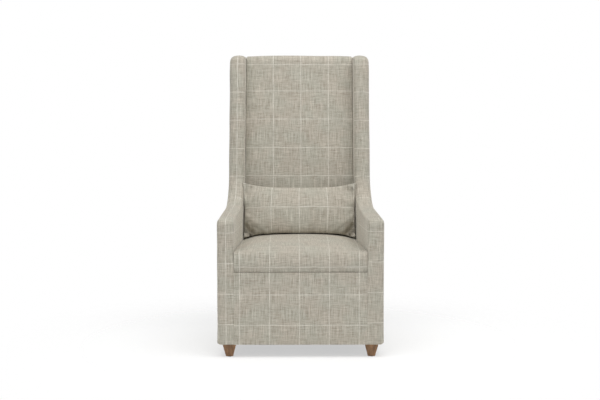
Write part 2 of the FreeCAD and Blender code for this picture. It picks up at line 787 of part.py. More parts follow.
def pillow_axes():
    """Middle point of the pillow and its upward and forward directions."""
    lean = INSIDE_LEAN
    up = Vector(0, math.sin(lean), math.cos(lean))
    forward = Vector(0, -math.cos(lean), math.sin(lean))
    on_back = Vector(0, inside_back_y(PILLOW_Z), PILLOW_Z)
    return on_back + forward * (PILLOW_T / 2 + PILLOW_GAP), up, forward


def pillow_form(inset):
    """Knife-edged pillow: lens sections that thin towards the ends, taller at the corners, sides drawn in."""
    middle, up, forward = pillow_axes()
    reach = PILLOW_TOP_HALF_W + 4
    wires = []
    for share in (-1.0, -0.9, -0.7, -0.35, 0.0, 0.35, 0.7, 0.9, 1.0):
        x = share * reach
        height = PILLOW_MID_HALF_H + (PILLOW_END_HALF_H - PILLOW_MID_HALF_H) * abs(share) ** 2.5 - inset
        bulge = PILLOW_T - (PILLOW_T - PILLOW_END_T) * abs(share) ** 3
        depth = bulge / 2 - inset
        across = Vector(x, 0, 0)
        top, low = middle + across + up * height, middle + across - up * height
        front, back = middle + across + forward * depth, middle + across - forward * depth
        wires.append(Part.Wire([arc(low, front, top), arc(top, back, low)]))
    body = Part.makeLoft(wires, True, False)
    return body.common(pillow_sides(inset))


def pillow_sides(inset):
    """Room between the two drawn-in side edges, as a slab through the pillow's thickness."""
    middle, up, forward = pillow_axes()
    back_off = middle - forward * PILLOW_T

    def at(x, h):
        return back_off + Vector(x, 0, 0) + up * h

    tall = PILLOW_END_HALF_H + 1
    edges = []
    top, mid, low = (w - inset for w in (PILLOW_TOP_HALF_W, PILLOW_MID_HALF_W, PILLOW_LOW_HALF_W))
    edges.append(line(at(-low, -tall), at(low, -tall)))
    edges.append(arc(at(low, -tall), at(mid, 0), at(top, tall)))
    edges.append(line(at(top, tall), at(-top, tall)))
    edges.append(arc(at(-top, tall), at(-mid, 0), at(-low, -tall)))
    return prism(Part.Wire(edges), forward * (2 * PILLOW_T))


def pillow():
    outer, insert = pillow_form(0.0), pillow_form(PILLOW_COVER_T)
    return {"pillow_cover": outer.cut(insert), "pillow_insert": insert}


# Assembly


def both(name, shape):
    return {name + "_right": shape, name + "_left": mirrored(shape)}


def cut_all(shape, tools):
    for tool in tools:
        if shape.BoundBox.intersect(tool.BoundBox):
            shape = shape.cut(tool)
    return shape


def build():
    inner_side = side_envelope(COVER_T)
    right_frame = {name: shape.common(inner_side) for name, shape in side_frame().items()}
    cross = cross_frame()
    nodes = {}
    for name, shape in right_frame.items():
        nodes.update(both(name, shape))
    nodes.update(cross)
    posts = {"front": right_frame["front_post"], "rear": right_frame["back_post"]}
    for end, shape in corner_blocks(posts).items():
        nodes.update(both("corner_block_" + end, shape))

    pegs = dowels()
    pegs += [mirrored(p) for p in pegs]
    screws = block_screws()
    screws += [(mirrored(a), mirrored(b)) for a, b in screws]
    places = foot_places()
    inserts = [insert_nut(x, y) for _, x, y in places]
    bolts = [hanger_bolt(x, y) for _, x, y in places]
    for name in nodes:
        nodes[name] = cut_all(nodes[name], pegs + bolts + inserts)
        nodes[name] = cut_all(nodes[name], [solid for pair in screws for solid in pair])

    rails = list(cross.values())
    soft = side_soft(inner_side, list(right_frame.values()) + rails)
    for name, shape in soft.items():
        nodes.update(both(name, cut_all(shape, bolts)))
    nodes.update(seat_forms())
    nodes.update(back_forms(rails))
    nodes.update(apron())
    nodes.update(outside_back())
    nodes["seat_insulator"] = insulator()
    nodes["back_webbing"] = Part.Compound(webbing())

    springs = []
    for x in spring_xs():
        if x > 0:
            spring, path = sinuous_spring(x)
            springs += [spring, mirrored(spring)]
            print("least gap of the spring at", x, "to itself:", round(least_gap(path), 2), "mm")
    nodes["seat_springs"] = Part.Compound(springs)
    nodes["spring_clips"] = Part.Compound(spring_clips())
    nodes["spring_tie_wires"] = Part.Compound(tie_wires())
    nodes["frame_dowels"] = Part.Compound(pegs)
    nodes["corner_block_screws"] = Part.Compound([s for s, _ in screws])

    feet = {name: foot(x, y) for name, x, y in places}
    for (name, x, y), bolt in zip(places, bolts):
        nodes["foot_" + name] = feet[name].cut(bolt)
    nodes["foot_hanger_bolts"] = Part.Compound(bolts)
    nodes["foot_insert_nuts"] = Part.Compound(inserts)
    nodes["foot_glides"] = Part.Compound([glide(x, y) for _, x, y in places])
    nodes["dust_cover"] = cut_all(dust_cover(), list(feet.values()) + bolts)
    nodes.update(pillow())
    return nodes


os.makedirs("parts", exist_ok=True)
for node_name, node_shape in build().items():
    node_shape.exportStep("parts/" + node_name + ".step")
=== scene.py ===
import math

import bmesh
import bpy
import numpy as np
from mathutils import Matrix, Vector


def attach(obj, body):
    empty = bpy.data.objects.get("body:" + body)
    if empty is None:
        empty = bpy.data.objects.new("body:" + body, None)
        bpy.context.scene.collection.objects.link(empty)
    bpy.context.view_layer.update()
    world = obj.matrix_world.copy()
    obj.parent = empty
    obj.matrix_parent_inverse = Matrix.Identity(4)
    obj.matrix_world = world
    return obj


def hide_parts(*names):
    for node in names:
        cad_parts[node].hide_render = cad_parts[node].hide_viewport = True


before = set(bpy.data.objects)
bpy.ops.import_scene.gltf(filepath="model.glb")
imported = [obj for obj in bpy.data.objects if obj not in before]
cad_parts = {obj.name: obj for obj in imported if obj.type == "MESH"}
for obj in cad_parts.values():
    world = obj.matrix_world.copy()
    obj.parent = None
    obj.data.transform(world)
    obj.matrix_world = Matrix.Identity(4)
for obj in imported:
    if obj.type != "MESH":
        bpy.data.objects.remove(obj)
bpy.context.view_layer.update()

# Sizes of the chair, in metres; front towards -Y
WIDTH = 0.6966
HEIGHT = 1.285
BASE_Z = 0.0545
ARM_FRONT_Y = -0.352
ARM_Z = 0.5805
ARM_RISE = 0.038
SIDE_T = 0.070
TAPER = math.radians(3.08)
INSIDE_LEAN = math.radians(6.7)
INSIDE_BACK_Y = 0.154
INSIDE_BACK_Z = 0.480
REAR_BOTTOM_Y = 0.256
REAR_BOTTOM_Z = 0.054
REAR_TOP_Y = 0.360
REAR_LENGTH = 1.228
REAR_LEAN = math.asin((REAR_TOP_Y - REAR_BOTTOM_Y) / REAR_LENGTH)
REAR_PANEL_T = 0.005
WING_PROUD = 0.060
WING_TOP_Z = 1.281
LIP_Z = 0.360
COVER_LOW_Z = 0.352
FIT_GAP = 0.0005

# Radii of the corners in a side's outline, then of the rolls along its edges, and the dips at its seams
HEM_R = 0.008
ARM_NOSE_R = 0.028
SCOOP_R = 0.166
WING_NOSE_R = 0.038
OUTER_EDGE_R = 0.020
HEM_EDGE_R = 0.015
WING_EDGE_R = 0.030
WING_TIP_EDGE_R = 0.027
INNER_EDGE_R = 0.014
WING_INNER_EDGE_R = 0.017
SEAM_EDGE_R = 0.0007
SEAM_DIP = 0.0011
INNER_SEAM_DIP = 0.0007

# The windowpane check: its repeat across and along the cloth, and where its lines lie on the chair
REPEAT_U = 0.1245
REPEAT_V = 0.1275
LEFT_ARM_LINE_Z = 0.141
RIGHT_ARM_LINE_Z = 0.147
WING_LINE_Z = 0.7315
WING_REPEAT = 0.1278
FRONT_LINE_X = 0.0047
BACK_LINE_X = 0.007
BACK_LINES_Z = (0.733, 0.8615, 0.992, 1.121, 1.242)


def side_x(w, y):
    """X of the right side's upright plane that lies w inside its outer face, at depth y."""
    return WIDTH / 2 - w / math.cos(TAPER) - (y - ARM_FRONT_Y) * math.tan(TAPER)


def inside_back_y(z):
    return INSIDE_BACK_Y + (z - INSIDE_BACK_Z) * math.tan(INSIDE_LEAN)


def wing_front_y(z):
    return inside_back_y(z) - WING_PROUD


def rear_y(n, z):
    """Y at height z of the plane that lies n in front of the outside back."""
    return REAR_BOTTOM_Y + (z - REAR_BOTTOM_Z) * math.tan(REAR_LEAN) - n / math.cos(REAR_LEAN)


# Curves and patches


def unit(v):
    return v / np.linalg.norm(v)


def rounded_path(corners, line_n, arc_n):
    """Open path through (a, b, radius) corners, and the first and last index of every corner's arc."""
    p = [np.array(c[:2], float) for c in corners]
    points = []
    marks = []
    for i, (_, _, r) in enumerate(corners):
        first = len(points)
        if r == 0:
            points.append(p[i])
            end = p[i]
        else:
            back, ahead = unit(p[i - 1] - p[i]), unit(p[i + 1] - p[i])
            half = math.acos(float(back @ ahead)) / 2
            centre = p[i] + unit(back + ahead) * (r / math.sin(half))
            start, end = (p[i] + d * (r / math.tan(half)) - centre for d in (back, ahead))
            a0, a1 = math.atan2(start[1], start[0]), math.atan2(end[1], end[0])
            turn = (a1 - a0 + math.pi) % (2 * math.pi) - math.pi
            for t in np.linspace(0, 1, arc_n[i]):
                a = a0 + turn * t
                points.append(centre + r * np.array([math.cos(a), math.sin(a)]))
            end = points[-1]
        marks.append((first, len(points) - 1))
        if i + 1 < len(corners):
            next_r = corners[i + 1][2]
            goal = p[i + 1]
            if next_r:
                back, ahead = unit(p[i] - goal), unit(p[i + 2] - goal)
                goal = goal + back * (next_r / math.tan(math.acos(float(back @ ahead)) / 2))
            for t in np.linspace(0, 1, line_n[i] + 2)[1:-1]:
                points.append(end + (goal - end) * t)
    return np.array(points), marks


def arc_through(a, m, b, n):
    """n points on the circle through three (a, b) points."""
    (ax, ay), (bx, by), (cx, cy) = a, m, b
    d = 2 * (ax * (by - cy) + bx * (cy - ay) + cx * (ay - by))
    sa, sb, sc = ax * ax + ay * ay, bx * bx + by * by, cx * cx + cy * cy
    ux = (sa * (by - cy) + sb * (cy - ay) + sc * (ay - by)) / d
    uy = (sa * (cx - bx) + sb * (ax - cx) + sc * (bx - ax)) / d
    r = math.hypot(ax - ux, ay - uy)
    a0, am, a1 = (math.atan2(q - uy, p - ux) for p, q in (a, m, b))
    turn = (a1 - a0) % (2 * math.pi)
    if (am - a0) % (2 * math.pi) > turn:
        turn -= 2 * math.pi
    t = a0 + turn * np.linspace(0, 1, n)
    return np.stack([ux + r * np.cos(t), uy + r * np.sin(t)], 1)


def arc_length(points):
    steps = np.linalg.norm(np.diff(points, axis=0), axis=1)
    return np.concatenate([[0], np.cumsum(steps)])


def normals(path):
    """Unit normal at every point of a path, to the left of the way it runs."""
    way = np.gradient(path, axis=0)
    way /= np.linalg.norm(way, axis=1)[:, None]
    return np.stack([-way[:, 1], way[:, 0]], 1)


def smooth(a, b, x):
    """0 before a, 1 after b, eased between."""
    t = np.clip((x - a) / (b - a), 0, 1)
    return t * t * (3 - 2 * t)


def edge_drop(d, r):
    """How far a rolled edge of radius r falls away at distance d from the edge."""
    d = np.clip(d, 0, r)
    return r - np.sqrt(np.maximum(r * r - (r - d) ** 2, 0))


def crowded(n):
    """n shares from -1 to 1, closer together towards both ends."""
    return np.sin(np.linspace(-math.pi / 2, math.pi / 2, n))


def panel_shares(edge, size, n):
    """Positions from 0 to size, crowded within edge of both ends."""
    rim = edge * np.array([0.0, 0.06, 0.18, 0.36, 0.6, 0.85, 1.2])
    return np.concatenate([rim, np.linspace(rim[-1], size - rim[-1], n)[1:-1], size - rim[::-1]])


def waves(seed, length, count=7):
    """Smooth unevenness of about that wavelength, as a function of points in space; mostly from -1 to 1."""
    rng = np.random.default_rng(seed)
    way = rng.normal(size=(count, 3))
    way /= np.linalg.norm(way, axis=1)[:, None]
    k = way * (2 * math.pi / (length * rng.uniform(0.7, 1.5, count)))[:, None]
    phase = rng.uniform(0, 2 * math.pi, count)
    return lambda p: np.sin(p @ k.T + phase).mean(axis=-1) * 1.6


# Pieces in the scene


def linked(name, data):
    """New object in the scene."""
    obj = bpy.data.objects.new(name, data)
    bpy.context.scene.collection.objects.link(obj)
    return obj


def woven_mesh(name, verts, faces, weave):
    """Mesh whose UV layer holds the weave: each point's own position on the cloth, in metres."""
    mesh = bpy.data.meshes.new(name)
    mesh.from_pydata(verts, [], faces)
    layer = mesh.uv_layers.new(name="weave")
    for loop in mesh.loops:
        layer.data[loop.index].uv = weave[loop.vertex_index]
    return mesh


def move_points(mesh, places):
    mesh.vertices.foreach_set("co", places.ravel())
    mesh.update()


def dress(obj, body, nodes):
    """Covers a finished piece in the cloth, hangs it on its body and hides the model's parts that it stands
    for.
    """
    obj.data.shade_smooth()
    obj.data.materials.append(cover)
    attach(obj, body)
    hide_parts(*nodes)


def piece(name, patches, nodes, uneven, seed):
    """One upholstered piece of the chair, from patches of (points, weave) joined where their edges meet.
    The weave may jump at a seam. Uneven is about how far the padding strays from its plain form."""
    verts, faces, weave = [], [], []
    for points, cloth in patches:
        n, m = points.shape[:2]
        base = len(verts)
        verts += [tuple(p) for p in points.reshape(-1, 3)]
        weave += [tuple(c) for c in cloth.reshape(-1, 2)]
        for i in range(n - 1):
            for j in range(m - 1):
                a = base + i * m + j
                faces.append((a, a + 1, a + m + 1, a + m))
    mesh = woven_mesh(name, verts, faces, weave)
    bm = bmesh.new()
    bm.from_mesh(mesh)
    bmesh.ops.remove_doubles(bm, verts=bm.verts, dist=2e-5)
    bmesh.ops.recalc_face_normals(bm, faces=bm.faces)
    bm.to_mesh(mesh)
    bm.free()
    co = np.array([v.co for v in mesh.vertices])
    normal = np.array([v.normal for v in mesh.vertices])
    move_points(mesh, co + normal * (uneven * waves(seed, 0.16)(co))[:, None])
    dress(linked(name, mesh), "chair", nodes)


# Materials


class Nodes:
    """A node tree, built from short calls."""

    def __init__(self, tree):
        self.tree = tree

    def put(self, node, socket, value):
        target = node.inputs[socket]
        if isinstance(value, bpy.types.NodeSocket):
            self.tree.links.new(value, target)
        else:
            target.default_value = value

    def node(self, kind, out=0, settings=None, **inputs):
        made = self.tree.nodes.new("ShaderNode" + kind)
        for key, value in (settings or {}).items():
            setattr(made, key, value)
        for key, value in inputs.items():
            self.put(made, key.replace("_", " "), value)
        return made.outputs[out]

    def math(self, operation, a, b=0.0, c=0.0):
        made = self.tree.nodes.new("ShaderNodeMath")
        made.operation = operation
        for i, value in enumerate((a, b, c)):
            self.put(made, i, value)
        return made.outputs[0]

    def times(self, a, b):
        return self.math("MULTIPLY", a, b)

    def sine(self, value, pitch):
        """Sine that crosses zero once every pitch."""
        return self.math("SINE", self.times(value, math.pi / pitch))

    def vector(self, x, y, z=0.0):
        return self.node("CombineXYZ", X=x, Y=y, Z=z)

    def axes(self, vector):
        made = self.tree.nodes.new("ShaderNodeSeparateXYZ")
        self.put(made, 0, vector)
        return made.outputs[0], made.outputs[1], made.outputs[2]

    def scaled(self, vector, scale):
        made = self.tree.nodes.new("ShaderNodeVectorMath")
        made.operation = "MULTIPLY"
        self.put(made, 0, vector)
        self.put(made, 1, scale)
        return made.outputs[0]

    def noise(self, vector, scale, detail=2.0, rough=0.5):
        return self.node("TexNoise", Vector=vector, Scale=scale, Detail=detail, Roughness=rough)

    def ranged(self, value, lo, hi, to_lo=0.0, to_hi=1.0, ease="SMOOTHSTEP"):
        made = self.tree.nodes.new("ShaderNodeMapRange")
        made.interpolation_type = ease
        for i, v in enumerate((value, lo, hi, to_lo, to_hi)):
            self.put(made, i, v)
        return made.outputs[0]

    def between(self, share, a, b):
        """Number between two numbers."""
        return self.node("Mix", Factor=share, A=a, B=b)

    def mix(self, share, a, b, blend="MIX"):
        """Colour between two colours."""
        made = self.tree.nodes.new("ShaderNodeMix")
        made.data_type = "RGBA"
        made.blend_type = blend
        for socket, value in ((0, share), (6, a), (7, b)):
            self.put(made, socket, value)
        return made.outputs[2]

    def bump(self, height, strength, distance):
        return self.node("Bump", Height=height, Strength=strength, Distance=distance)


class Shader(Nodes):
    """A material's node tree."""

    def __init__(self, name):
        self.material = bpy.data.materials.new(name)
        self.material.use_nodes = True
        super().__init__(self.material.node_tree)
        self.surface = self.tree.nodes["Principled BSDF"]

    def place(self):
        """Position in the piece's own axes."""
        return self.node("TexCoord", "Object")

    def finish(self, **inputs):
        for key, value in inputs.items():
            self.put(self.surface, key.replace("_", " "), value)
        return self.material


def rgb(r, g, b):
    """Linear colour of a display colour given from 0 to 255."""
    lin = [c / 255 / 12.92 if c <= 10 else ((c / 255 + 0.055) / 1.055) ** 2.4 for c in (r, g, b)]
    return (*lin, 1.0)


def windowpane(name):
    """Slubby plain-weave upholstery cloth in greige with a thin off-white windowpane check."""
    s = Shader(name)
    u, v, _ = s.axes(s.node("UVMap", settings={"uv_map": "weave"}))
    yarn = 0.0014
    streaks_per_m, flecks_per_m = 340.0, 760.0
    warp_drawn, weft_drawn, fleck_drawn = 14.0, 24.0, 2.2
    wander, wander_per_m, worn_per_m, faded_per_m = 0.0016, 30.0, 260.0, 22.0
    line_core, line_edge = 0.0006, 0.0021

    def slub(across, along, shift, drawn):
        """Uneven yarns: streaks a few yarns wide and drawn out lengthwise, over single-yarn flecks."""
        wide = s.vector(s.times(across, streaks_per_m), s.times(along, drawn), shift)
        fine = s.vector(s.times(across, flecks_per_m), s.times(along, fleck_drawn * drawn), shift + 4.0)
        return s.math("MULTIPLY_ADD", s.noise(wide, 1.0, 1.0), 0.55, s.times(s.noise(fine, 1.0, 2.0), 0.45))

    warp_slub = slub(u, v, 0.0, warp_drawn)
    weft_slub = slub(v, u, 7.3, weft_drawn)
    sine_u, sine_v = s.sine(u, yarn), s.sine(v, yarn)
    warp_top = s.ranged(s.times(sine_u, sine_v), -0.25, 0.25)
    woven = s.between(warp_top, weft_slub, warp_slub)
    tone = s.math("MULTIPLY_ADD", s.math("SUBTRACT", warp_slub, 0.5), 0.25, woven)
    cloudy = s.noise(s.vector(u, v), 24.0, 2.0)
    hue = s.ranged(s.noise(s.vector(u, v, 3.1), 10.0, 2.0), 0.34, 0.66)

    base = s.mix(s.ranged(tone, 0.32, 0.68, 0.0, 1.0, "LINEAR"), rgb(139, 133, 120), rgb(205, 199, 186))
    dyed = s.mix(hue, (0.979, 1.005, 1.003, 1.0), (1.011, 0.993, 0.986, 1.0))
    base = s.mix(1.0, base, dyed, "MULTIPLY")
    base = s.mix(s.ranged(cloudy, 0.3, 0.7, 0.0, 0.35), base, s.mix(0.16, base, rgb(150, 148, 134)))

    def pane(across, along, repeat, shift):
        """Thin line once every repeat, which wanders a little and is worn and faded in places."""
        stray = s.noise(s.vector(s.times(along, wander_per_m), shift), 1.0, 1.0)
        place = s.math("MULTIPLY_ADD", stray, wander, s.math("SUBTRACT", across, wander / 2))
        line = s.ranged(s.math("PINGPONG", place, repeat / 2), line_core, line_edge, 1.0, 0.0)
        worn = s.noise(s.vector(s.times(along, worn_per_m), shift), 1.0, 3.0, 0.65)
        faded = s.noise(s.vector(s.times(along, faded_per_m), shift + 5.0), 1.0, 1.0)
        strength = s.times(s.ranged(worn, 0.3, 0.62, 0.4, 1.0), s.ranged(faded, 0.25, 0.7, 0.5, 1.0))
        return s.times(line, strength)

    line = s.math("MAXIMUM", pane(u, v, REPEAT_U, 1.7), pane(v, u, REPEAT_V, 9.2))
    ridge = s.between(warp_top, s.math("ABSOLUTE", sine_v), s.math("ABSOLUTE", sine_u))
    height = s.math("MULTIPLY_ADD", tone, 1.4, s.math("MULTIPLY_ADD", line, 0.5, ridge))
    return s.finish(
        Base_Color=s.mix(line, base, rgb(222, 219, 209)),
        Roughness=s.ranged(tone, 0.2, 0.8, 0.96, 0.86, "LINEAR"),
        Normal=s.bump(height, 0.35, 0.0005),
        Specular_IOR_Level=0.25,
        Sheen_Weight=0.74,
        Sheen_Roughness=0.45,
        Sheen_Tint=rgb(236, 231, 220),
    )


def wood(name, dark, light, along, rough, grain=1.0):
    """Solid timber: streaks and pores drawn out along one axis."""
    s = Shader(name)
    at = s.place()
    stretch = tuple(0.08 if i == along else 1.0 for i in range(3))
    slow = tuple(0.02 if i == along else 1.0 for i in range(3))
    figure = s.noise(s.scaled(at, slow), 55.0 * grain, 4.0, 0.6)
    fibre = s.noise(s.scaled(at, stretch), 900.0 * grain, 3.0, 0.7)
    share = s.math("MULTIPLY_ADD", fibre, 0.45, s.times(figure, 0.75))
    colour = s.mix(s.ranged(share, 0.38, 0.82), dark, light)
    pores = s.ranged(fibre, 0.30, 0.46)
    return s.finish(
        Base_Color=s.mix(pores, s.mix(0.5, colour, dark), colour),
        Roughness=s.ranged(fibre, 0.3, 0.7, rough + 0.08, rough - 0.05),
        Normal=s.bump(fibre, 0.12, 0.0004),
        Specular_IOR_Level=0.4,
    )


def ply(name):
    """Pale plywood with its fibres along X."""
    s = Shader(name)
    fibre = s.noise(s.scaled(s.place(), (0.06, 1.0, 1.0)), 420.0, 3.0, 0.6)
    colour = s.mix(s.ranged(fibre, 0.3, 0.7), rgb(176, 140, 98), rgb(214, 184, 142))
    return s.finish(Base_Color=colour, Roughness=0.7, Normal=s.bump(fibre, 0.2, 0.0005))


def matted(name, low, high, scale, depth):
    """Felted stuff: speckle with a fine pitted surface."""
    s = Shader(name)
    at = s.place()
    cells = s.node("TexVoronoi", Vector=at, Scale=scale)
    fleck = s.noise(at, scale * 0.6, 3.0, 0.7)
    colour = s.mix(s.ranged(fleck, 0.3, 0.7), low, high)
    return s.finish(Base_Color=colour, Roughness=0.95, Normal=s.bump(cells, 0.5, depth))


def plain_weave(name, low, high, pitch):
    """Coarse plain cloth laid flat, such as webbing or the cloth under the seat."""
    s = Shader(name)
    at = s.place()
    x, y, z = s.axes(at)
    over = s.times(s.sine(x, pitch), s.sine(s.math("ADD", y, z), pitch))
    fleck = s.noise(at, 500.0, 2.0)
    share = s.math("MULTIPLY_ADD", s.ranged(over, -0.6, 0.6), 0.6, s.times(fleck, 0.4))
    return s.finish(
        Base_Color=s.mix(share, low, high),
        Roughness=s.ranged(share, 0.2, 0.8, 0.95, 0.85),
        Normal=s.bump(over, 0.4, pitch * 0.3),
    )


def steel(name, tint, rough):
    """Hazed steel with fine scratches."""
    s = Shader(name)
    at = s.place()
    haze = s.noise(at, 160.0, 4.0, 0.7)
    scratch = s.noise(s.scaled(at, (1.0, 0.06, 1.0)), 1400.0, 2.0)
    return s.finish(
        Base_Color=s.mix(s.ranged(haze, 0.3, 0.7, 0.0, 0.4), tint, rgb(120, 118, 114)),
        Metallic=1.0,
        Roughness=s.ranged(haze, 0.3, 0.7, rough - 0.08, rough + 0.1),
        Normal=s.bump(scratch, 0.08, 0.0002),
    )


def nylon(name):
    """Dark, scuffed nylon."""
    s = Shader(name)
    scuff = s.noise(s.place(), 700.0, 3.0, 0.6)
    return s.finish(
        Base_Color=s.mix(scuff, rgb(38, 36, 34), rgb(62, 59, 56)),
        Roughness=s.ranged(scuff, 0.3, 0.7, 0.42, 0.6),
        Normal=s.bump(scuff, 0.1, 0.0002),
    )


# Arms and wings


def side(sign, end):
    """One arm and wing: a band sewn round the front, top and hem, between an outer and an inner panel."""
    arm_back_z = ARM_Z + ARM_RISE
    corners = [
        (rear_y(REAR_PANEL_T, BASE_Z), BASE_Z, 0),
        (ARM_FRONT_Y, BASE_Z, HEM_R),
        (ARM_FRONT_Y, ARM_Z, ARM_NOSE_R),
        (wing_front_y(arm_back_z), arm_back_z, SCOOP_R),
        (wing_front_y(WING_TOP_Z), WING_TOP_Z, WING_NOSE_R),
        (rear_y(REAR_PANEL_T, WING_TOP_Z), WING_TOP_Z, 0),
    ]
    path, marks = rounded_path(corners, (60, 150, 90, 160, 36), (1, 14, 18, 60, 22, 1))
    s = arc_length(path)
    normal = normals(path)
    z = path[:, 1]
    hem_end, nose, scoop, wing_nose = marks[1][1], marks[2], marks[3], marks[4]
    row = np.arange(len(path))
    on_front = (row >= hem_end) & (row <= nose[0])

    # The rolls along the path: tight at the hem and below the seat, wide on the wing
    hem_fade, seat_fade, wing_fade, tip_fade = (0.064, 0.13), (LIP_Z, 0.50), (1.14, 1.23), (1.18, 1.27)
    above_hem = np.where(row < hem_end, 0.0, smooth(*hem_fade, np.where(row < nose[0], z, 1.0)))
    above_seat = np.where(row < nose[0], smooth(*seat_fade, np.where(row < hem_end, 0.0, z)), 1.0)
    on_wing = smooth(scoop[0], scoop[1], row.astype(float)) * (1.0 - smooth(*wing_fade, z))
    on_tip = smooth(*tip_fade, np.where(row > scoop[1], z, 0.0))
    r_out = HEM_EDGE_R + (OUTER_EDGE_R - HEM_EDGE_R) * above_hem
    r_out = r_out + (WING_EDGE_R - OUTER_EDGE_R) * on_wing + (WING_TIP_EDGE_R - OUTER_EDGE_R) * on_tip
    r_in = SEAM_EDGE_R + (INNER_EDGE_R - SEAM_EDGE_R) * above_seat
    r_in = r_in + (WING_INNER_EDGE_R - INNER_EDGE_R) * on_wing
    flank_out = 0.001 + 0.005 * above_hem
    flank_in = 0.003

    # How far the band's middle stands out: a slight crown, with puckers in the scoop and at the wing's nose,
    # each with its reach in rows, height and wavelength
    crown = 0.0013 * above_hem + 0.0008 * on_wing
    puckers = ((scoop, 34.0, 0.0009, 0.031), (wing_nose, 12.0, 0.0008, 0.0085))
    for (first, last), reach, height, length in puckers:
        share = np.exp(-(((row - (first + last) / 2) / reach) ** 2))
        crown = crown + height * share * np.sin(s * 2 * math.pi / length)

    # The check's phase along the band: level lines on the arm front and on the wing, eased over the arm top
    line_z = LEFT_ARM_LINE_Z if sign < 0 else RIGHT_ARM_LINE_Z
    line_u = -0.003 if sign < 0 else REPEAT_U / 2
    v_nose = z[nose[0]] - line_z
    run = s[scoop[1]] - s[nose[0]]
    scoop_phase = (z[scoop[1]] - WING_LINE_Z) / WING_REPEAT
    tip_phase = (z[wing_nose[0]] - WING_LINE_Z) / WING_REPEAT
    panes = round((v_nose + run) / REPEAT_V - scoop_phase)
    v_tip = (panes + tip_phase) * REPEAT_V
    phases = {
        0: z[hem_end] - line_z - s[hem_end],
        hem_end: z[hem_end] - line_z,
        nose[0]: v_nose,
        scoop[1]: (panes + scoop_phase) * REPEAT_V,
        wing_nose[0]: v_tip,
        len(path) - 1: v_tip + s[-1] - s[wing_nose[0]],
    }
    along = np.interp(s, s[list(phases)], list(phases.values()))

    # Band: seam, outer roll, middle, inner roll, seam
    t_roll = np.linspace(0, math.pi / 2, 12)
    t_mid = np.linspace(0, 1, 14)[1:-1]
    t_flank = np.array([1.0, 0.75, 0.5, 0.25])
    lift = 4 * t_mid * (1 - t_mid)
    dip_out = SEAM_DIP * np.array([1.0, 0.35, 0.0, 0.0])
    dip_in = INNER_SEAM_DIP * np.array([0.0, 0.0, 0.35, 1.0])
    band, cloth = [], []
    for i in row:
        ro, ri = r_out[i], r_in[i]
        w = np.concatenate(
            [
                dip_out,
                ro * (1 - np.cos(t_roll)),
                ro + (SIDE_T - ro - ri) * t_mid,
                SIDE_T - ri * (1 - np.cos(t_roll[::-1])),
                SIDE_T - dip_in,
            ]
        )
        h = np.concatenate(
            [
                ro + flank_out[i] * t_flank,
                ro * (1 - np.sin(t_roll)),
                -lift * crown[i],
                ri * (1 - np.sin(t_roll[::-1])),
                ri + flank_in * t_flank[::-1],
            ]
        )
        y = path[i, 0] - normal[i, 0] * h
        band.append(np.stack([sign * side_x(w, y), y, path[i, 1] - normal[i, 1] * h], 1))
        spread = arc_length(np.stack([w, h], 1))
        middle = np.interp(SIDE_T / 2, w, spread)
        cloth.append(np.stack([spread - middle + line_u, np.full_like(w, along[i])], 1))
    band, cloth = np.array(band), np.array(cloth)

    # Panels: straight rows, crowded near the seam, from these knots on the path to these heights at the rear
    s_lip = np.interp(LIP_Z, z[on_front], s[on_front])
    knots = [s[0], s[hem_end], s_lip, s[nose[1]], s[scoop[0]], s[scoop[1]], s[wing_nose[0]], s[-1]]
    heights = [BASE_Z + 0.007, 0.20, LIP_Z, 0.45, 0.56, 0.70, 1.20, WING_TOP_Z - 0.026]
    rear_z = np.interp(s, knots, heights)
    near = np.array([0.0, 0.0012, 0.0025, 0.0045, 0.008])
    far = np.linspace(0, 1, 34)[1:]

    def panel(w_face, reach, inward, swell, rows):
        """Panel whose rows start reach inside the path; it dips at the seam and swells between the edges."""
        grid, weave = [], []
        for i in rows:
            a = path[i] - normal[i] * reach[i]
            b = np.array([rear_y(REAR_PANEL_T, rear_z[i]), rear_z[i]])
            span = np.linalg.norm(b - a)
            d = np.concatenate([near, near[-1] + (max(span, 0.03) - near[-1]) * far])
            d = d / d[-1] * span
            t = d / max(span, 1e-6)
            q = a + (b - a) * t[:, None]
            y, zz = q[:, 0], q[:, 1]
            ease = smooth(0.0, 0.12, d) * smooth(0.0, 0.09, span - d)
            w = w_face + inward * (SEAM_DIP * np.exp(-((d / (2 * SEAM_DIP)) ** 2)) - swell * ease)
            grid.append(np.stack([sign * side_x(w, y), y, zz], 1))
            weave.append(np.stack([y + 0.02, zz - line_z], 1))
        return np.array(grid), np.array(weave)

    outer = panel(0.0, r_out + flank_out, 1.0, 0.003, row)
    seen_inside = row[(row > hem_end) & ((z > LIP_Z - 0.015) | (row > nose[0]))]
    inner = panel(SIDE_T, r_in + flank_in, -1.0, 0.0, seen_inside)

    # Rear edge, and a fold that closes the wing's top behind
    spine = outer[0][:, -1]
    shares = np.linspace(0, 1, 6)
    cap = np.array([[(sign * side_x(SIDE_T * k, y), y, zz) for k in shares] for _, y, zz in spine])
    cap_cloth = np.array([[(SIDE_T * k, zz) for k in shares] for _, _, zz in spine])
    fold_z = WING_TOP_Z - 0.030
    fold = band[-1].copy()
    fold[:, 1:] = rear_y(REAR_PANEL_T, fold_z), fold_z
    tip_cap = np.stack([band[-1], fold])
    patches = [(band, cloth), outer, inner, (cap, cap_cloth), (tip_cap, tip_cap[..., [0, 2]])]
    nodes = [kind + end for kind in ("inside_arm_cover_", "outside_arm_cover_", "arm_wing_padding_")]
    piece("arm_wing_" + end, patches, nodes, 0.0007, 11 + sign)


# Seat


